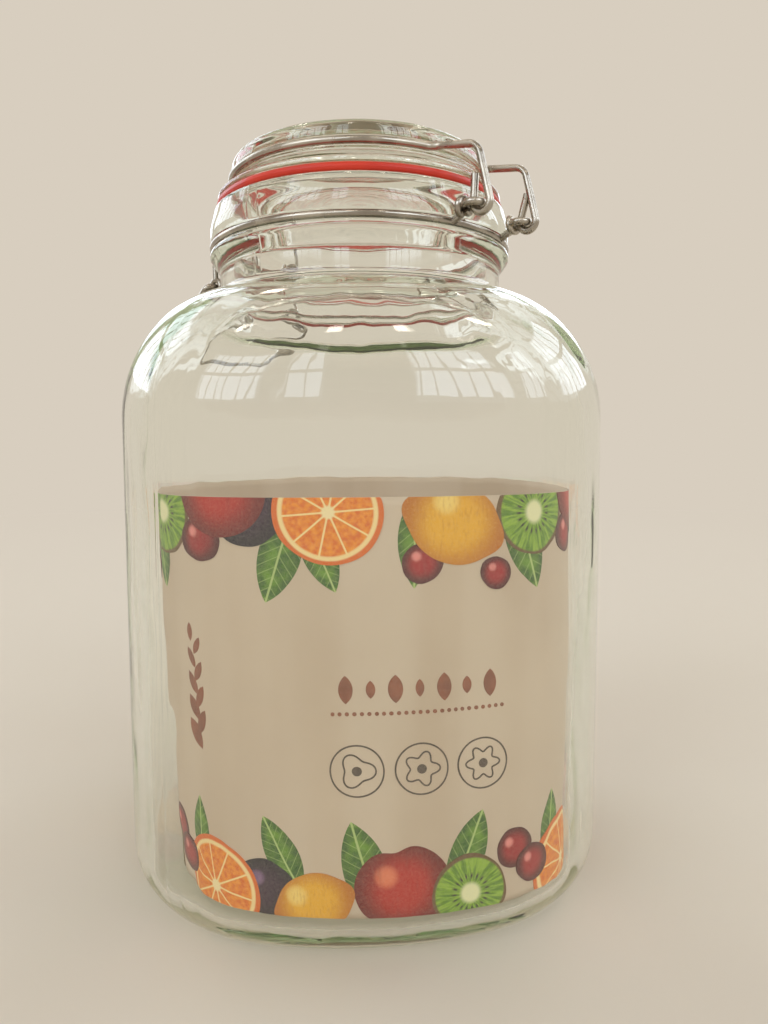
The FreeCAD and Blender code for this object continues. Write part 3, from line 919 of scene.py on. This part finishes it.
def kiwi_material():
    """A slice of kiwi: rayed flesh, a pale core, a ring of seeds, and the skin."""
    made, s = material("kiwi")
    _, x, y = motif(s)
    radius, angle = distance(s, x, y), s.math("ARCTAN2", y, x)
    rays = s.noise(s.add("ShaderNodeCombineXYZ", {
        0: s.math("MULTIPLY", angle, 9.0), 1: s.math("MULTIPLY", radius, 2.0)}).outputs[0], 1.0)
    flesh = s.mix(s.ramp(rays, 0.35, 0.65), linear(88, 128, 18), linear(146, 178, 52))
    in_turn = s.ramp(s.math("SINE", s.math("MULTIPLY", angle, 19.0)), 0.25, 0.75)
    seeds = s.math("MULTIPLY", near(s, radius, 0.44, 0.12), in_turn)
    colour = s.mix(s.ramp(radius, 0.34, 0.18), flesh, linear(232, 226, 176))
    colour = s.mix(seeds, colour, linear(38, 28, 24))
    colour = s.mix(s.ramp(radius, 0.88, 0.94), colour, linear(108, 76, 42))
    printed(s, colour)
    return made


def leaf_material():
    """A leaf along x: clouded green, darker to its edges, with a midrib and slanting veins."""
    made, s = material("leaves")
    where, x, y = motif(s)
    across = s.math("ABSOLUTE", y)
    colour = s.mottle(s.noise(where, 3.0, 3.0), (40, 84, 14), (104, 144, 34))
    colour = s.mix(s.ramp(across, 0.08, 0.4, 0.0, 0.5), colour, linear(36, 66, 22))
    side = s.math("PINGPONG", s.math("SUBTRACT", x, s.math("MULTIPLY", across, 0.9)), 0.11)
    veins = s.math("MAXIMUM", s.ramp(side, 0.018, 0.0, 0.0, 0.6), s.ramp(across, 0.03, 0.012))
    colour = s.mix(veins, colour, linear(176, 192, 118))
    printed(s, colour, 0.55)
    return made


def ink_material(name, tone):
    """Plain ink of one tone, a little darker in places."""
    made, s = material(name)
    printed(s, s.mottle(s.noise(s.position(), 260.0, 3.0), tone, [0.86 * part for part in tone]))
    return made


def dress(thing, made):
    thing.data.materials.clear()
    thing.data.materials.append(made)


# ---------------------------------------------------------------- studio
BACKGROUND = linear(216, 206, 191)


FLOOR_HALF = 24.0               # metres
FLOOR_FADE = (0.35, 1.6)        # distances over which the floor turns into the backdrop, in metres


def make_floor():
    """A matt floor that takes the jar's shadow and fades with distance into the backdrop's plain colour."""
    mesh = bpy.data.meshes.new("studio_floor")
    corners = [(x * FLOOR_HALF, y * FLOOR_HALF, 0) for x, y in ((-1, -1), (1, -1), (1, 1), (-1, 1))]
    mesh.from_pydata(corners, [], [(0, 1, 2, 3)])
    floor = add_object("studio_floor", mesh)
    made, s = material("pale_floor")
    where = s.add("ShaderNodeTexCoord").outputs["Object"]
    away = s.add("ShaderNodeVectorMath", {0: where}, operation="LENGTH").outputs["Value"]
    matt = s.shader("ShaderNodeBsdfDiffuse", Color=BACKGROUND)
    far = s.shader("ShaderNodeEmission", Color=BACKGROUND, Strength=1.0)
    s.surface(s.mix_shaders(s.ramp(away, *FLOOR_FADE), matt, far))
    made.cycles.emission_sampling = "NONE"
    dress(floor, made)


# Azimuth 0 is the camera's side and 90 is +X, in degrees. Each row is azimuth, half width and strength.
# Heights are those of a direction's Z.
WINDOWS = ((-128, 17, 3.2), (-50, 17, 4.0), (-18, 6, 3.4), (32, 15, 3.9), (66, 7, 3.4), (108, 16, 3.2),
           (157, 9, 2.8), (-160, 6, 2.8))
WINDOW_SOFT = 0.8
WINDOW_HEIGHTS = (0.24, 0.66, 0.02)     # low, high and softness
WINDOW_BARS = 60.0                      # upright bars to a full turn
WINDOW_BAR = (0.05, 0.09)               # half width and where its soft edge ends, as shares of their spacing
WINDOW_TINT = (0.82, 0.94, 1.08)
TRANSOM = (0.5, 0.012, 0.02)            # height, half thickness and where its soft edge ends
SPOTS = tuple((azimuth, 2.6, 1.0) for azimuth in (-150, -75, -14, 22, 80, 140))
SPOT_SOFT = 1.2
SPOT_HEIGHTS = (0.84, 0.87, 0.015)
SPOT_GLOW = (16.0, 14.8, 13.0)
DOME_TOP = (158, 147, 132)              # the ambient light fades to it overhead
DOME_FADE = (0.12, 0.8)
THROUGH_GLASS = 0.14                    # share of the lamps' strength that shows through glass


def around(s, azimuth, rows, soft):
    """A value over the azimuth: 0 but for soft-edged marks, each of its own width and strength."""
    node = s.add("ShaderNodeValToRGB", {0: azimuth})
    stops = []
    for middle, half_width, strength in rows:
        for turn, value in ((-half_width - soft, 0), (-half_width, strength), (half_width, strength),
                            (half_width + soft, 0)):
            stops.append(((middle + turn) / 360 + 0.5, value))
    stops = [stop for stop in sorted(stops) if 0 <= stop[0] <= 1]
    elements = node.color_ramp.elements
    for _ in stops[2:]:
        elements.new(0.5)
    for element, (where, value) in zip(elements, stops):
        element.position = where
        element.color = (value, value, value, 1.0)
    return node.outputs[0]


def between(s, height, low, high, soft):
    """1 where the height lies between two values, with soft edges outside them."""
    return s.math("MULTIPLY", s.ramp(height, low - soft, low), s.ramp(height, high + soft, high))


def make_world():
    """The plain backdrop, and the windows and lamps that light the object.

    Camera, glass and metal see the backdrop alike. The camera doesn't see the windows and lamps.
    """
    world = bpy.data.worlds.new("studio_world")
    world.use_nodes = True
    bpy.context.scene.world = world
    s = Shader(world.node_tree)
    path = s.add("ShaderNodeLightPath").outputs
    camera, through = path["Is Camera Ray"], path["Is Transmission Ray"]
    shows = s.math("MAXIMUM", camera, s.math("MAXIMUM", path["Is Glossy Ray"], through))
    gain = s.math("MULTIPLY", s.math("SUBTRACT", 1.0, camera),
                  s.math("MULTIPLY_ADD", through, THROUGH_GLASS - 1, 1.0))
    parts = s.add("ShaderNodeSeparateXYZ", {0: s.add("ShaderNodeTexCoord").outputs["Generated"]}).outputs
    turn = s.math("ARCTAN2", parts["X"], s.math("MULTIPLY", parts["Y"], -1.0))
    azimuth = s.math("MULTIPLY_ADD", turn, 1 / TURN, 0.5)
    height = parts["Z"]
    dome = s.mix(s.ramp(height, *DOME_FADE), BACKGROUND, linear(*DOME_TOP))
    colour = s.mix(shows, dome, BACKGROUND)
    bars = s.ramp(s.math("PINGPONG", s.math("MULTIPLY", azimuth, WINDOW_BARS), 0.5), *WINDOW_BAR)
    transom, half_thick, soft_end = TRANSOM
    from_transom = s.math("ABSOLUTE", s.math("SUBTRACT", height, transom))
    panes = s.math("MULTIPLY", between(s, height, *WINDOW_HEIGHTS),
                   s.ramp(from_transom, half_thick, soft_end))
    windows = s.math("MULTIPLY", around(s, azimuth, WINDOWS, WINDOW_SOFT), s.math("MULTIPLY", panes, bars))
    spots = s.math("MULTIPLY", around(s, azimuth, SPOTS, SPOT_SOFT), between(s, height, *SPOT_HEIGHTS))
    bright, glow = [
        s.add("ShaderNodeVectorMath", {0: tint, "Scale": share}, operation="SCALE").outputs[0]
        for tint, share in ((WINDOW_TINT, windows), (SPOT_GLOW, spots))]
    lights = s.add("ShaderNodeVectorMath", {0: bright, 1: glow}, operation="ADD").outputs[0]
    plain = s.shader("ShaderNodeBackground", Color=colour, Strength=1.0)
    lit = s.shader("ShaderNodeBackground", Color=lights, Strength=gain)
    both = s.add("ShaderNodeAddShader", {0: plain, 1: lit}).outputs[0]
    s.add("ShaderNodeOutputWorld", {"Surface": both})


def make_camera():
    """The photograph's eye: close in front, a little left, looking slightly down."""
    data = bpy.data.cameras.new("camera")
    data.sensor_width = 36.0
    data.lens = 27.26
    data.clip_start = 0.01
    data.clip_end = 100.0
    camera = add_object("camera", data)
    camera.location = (-0.01365, -0.2632, 0.1363)
    camera.rotation_euler = (math.radians(90 - 4.65), math.radians(0.22), math.radians(-4.64))
    bpy.context.scene.camera = camera


# ---------------------------------------------------------------- assembly
GLASS = glass_material()
WIRE = wire_material()

for builder, node, body, slot, made in (
    (make_glass_jar, "glass_jar", "jar", "glass", GLASS),
    (make_glass_lid, "glass_lid", "lid", "glass", GLASS),
    (make_seal, "seal", "lid", "rubber_seal", rubber_material()),
    (make_paper, "label_insert", "jar", "label_paper", paper_material()),
    (make_lid_wire, "lid_wire", "lid", "steel_wire", WIRE),
):
    piece = builder()
    dress(piece, made)
    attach(piece, body)
    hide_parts(node)

for node in ("neck_wire", "clasp_lever", "clasp_bail"):
    dress(NODES[node], WIRE)

make_print()
make_floor()
make_world()
make_camera()

scene = bpy.context.scene
scene.view_settings.view_transform = "Standard"
scene.cycles.caustics_reflective = False
scene.cycles.caustics_refractive = False
scene.cycles.max_bounces = 36
scene.cycles.diffuse_bounces = 3
scene.cycles.glossy_bounces = 36
scene.cycles.transmission_bounces = 36
scene.cycles.transparent_max_bounces = 24
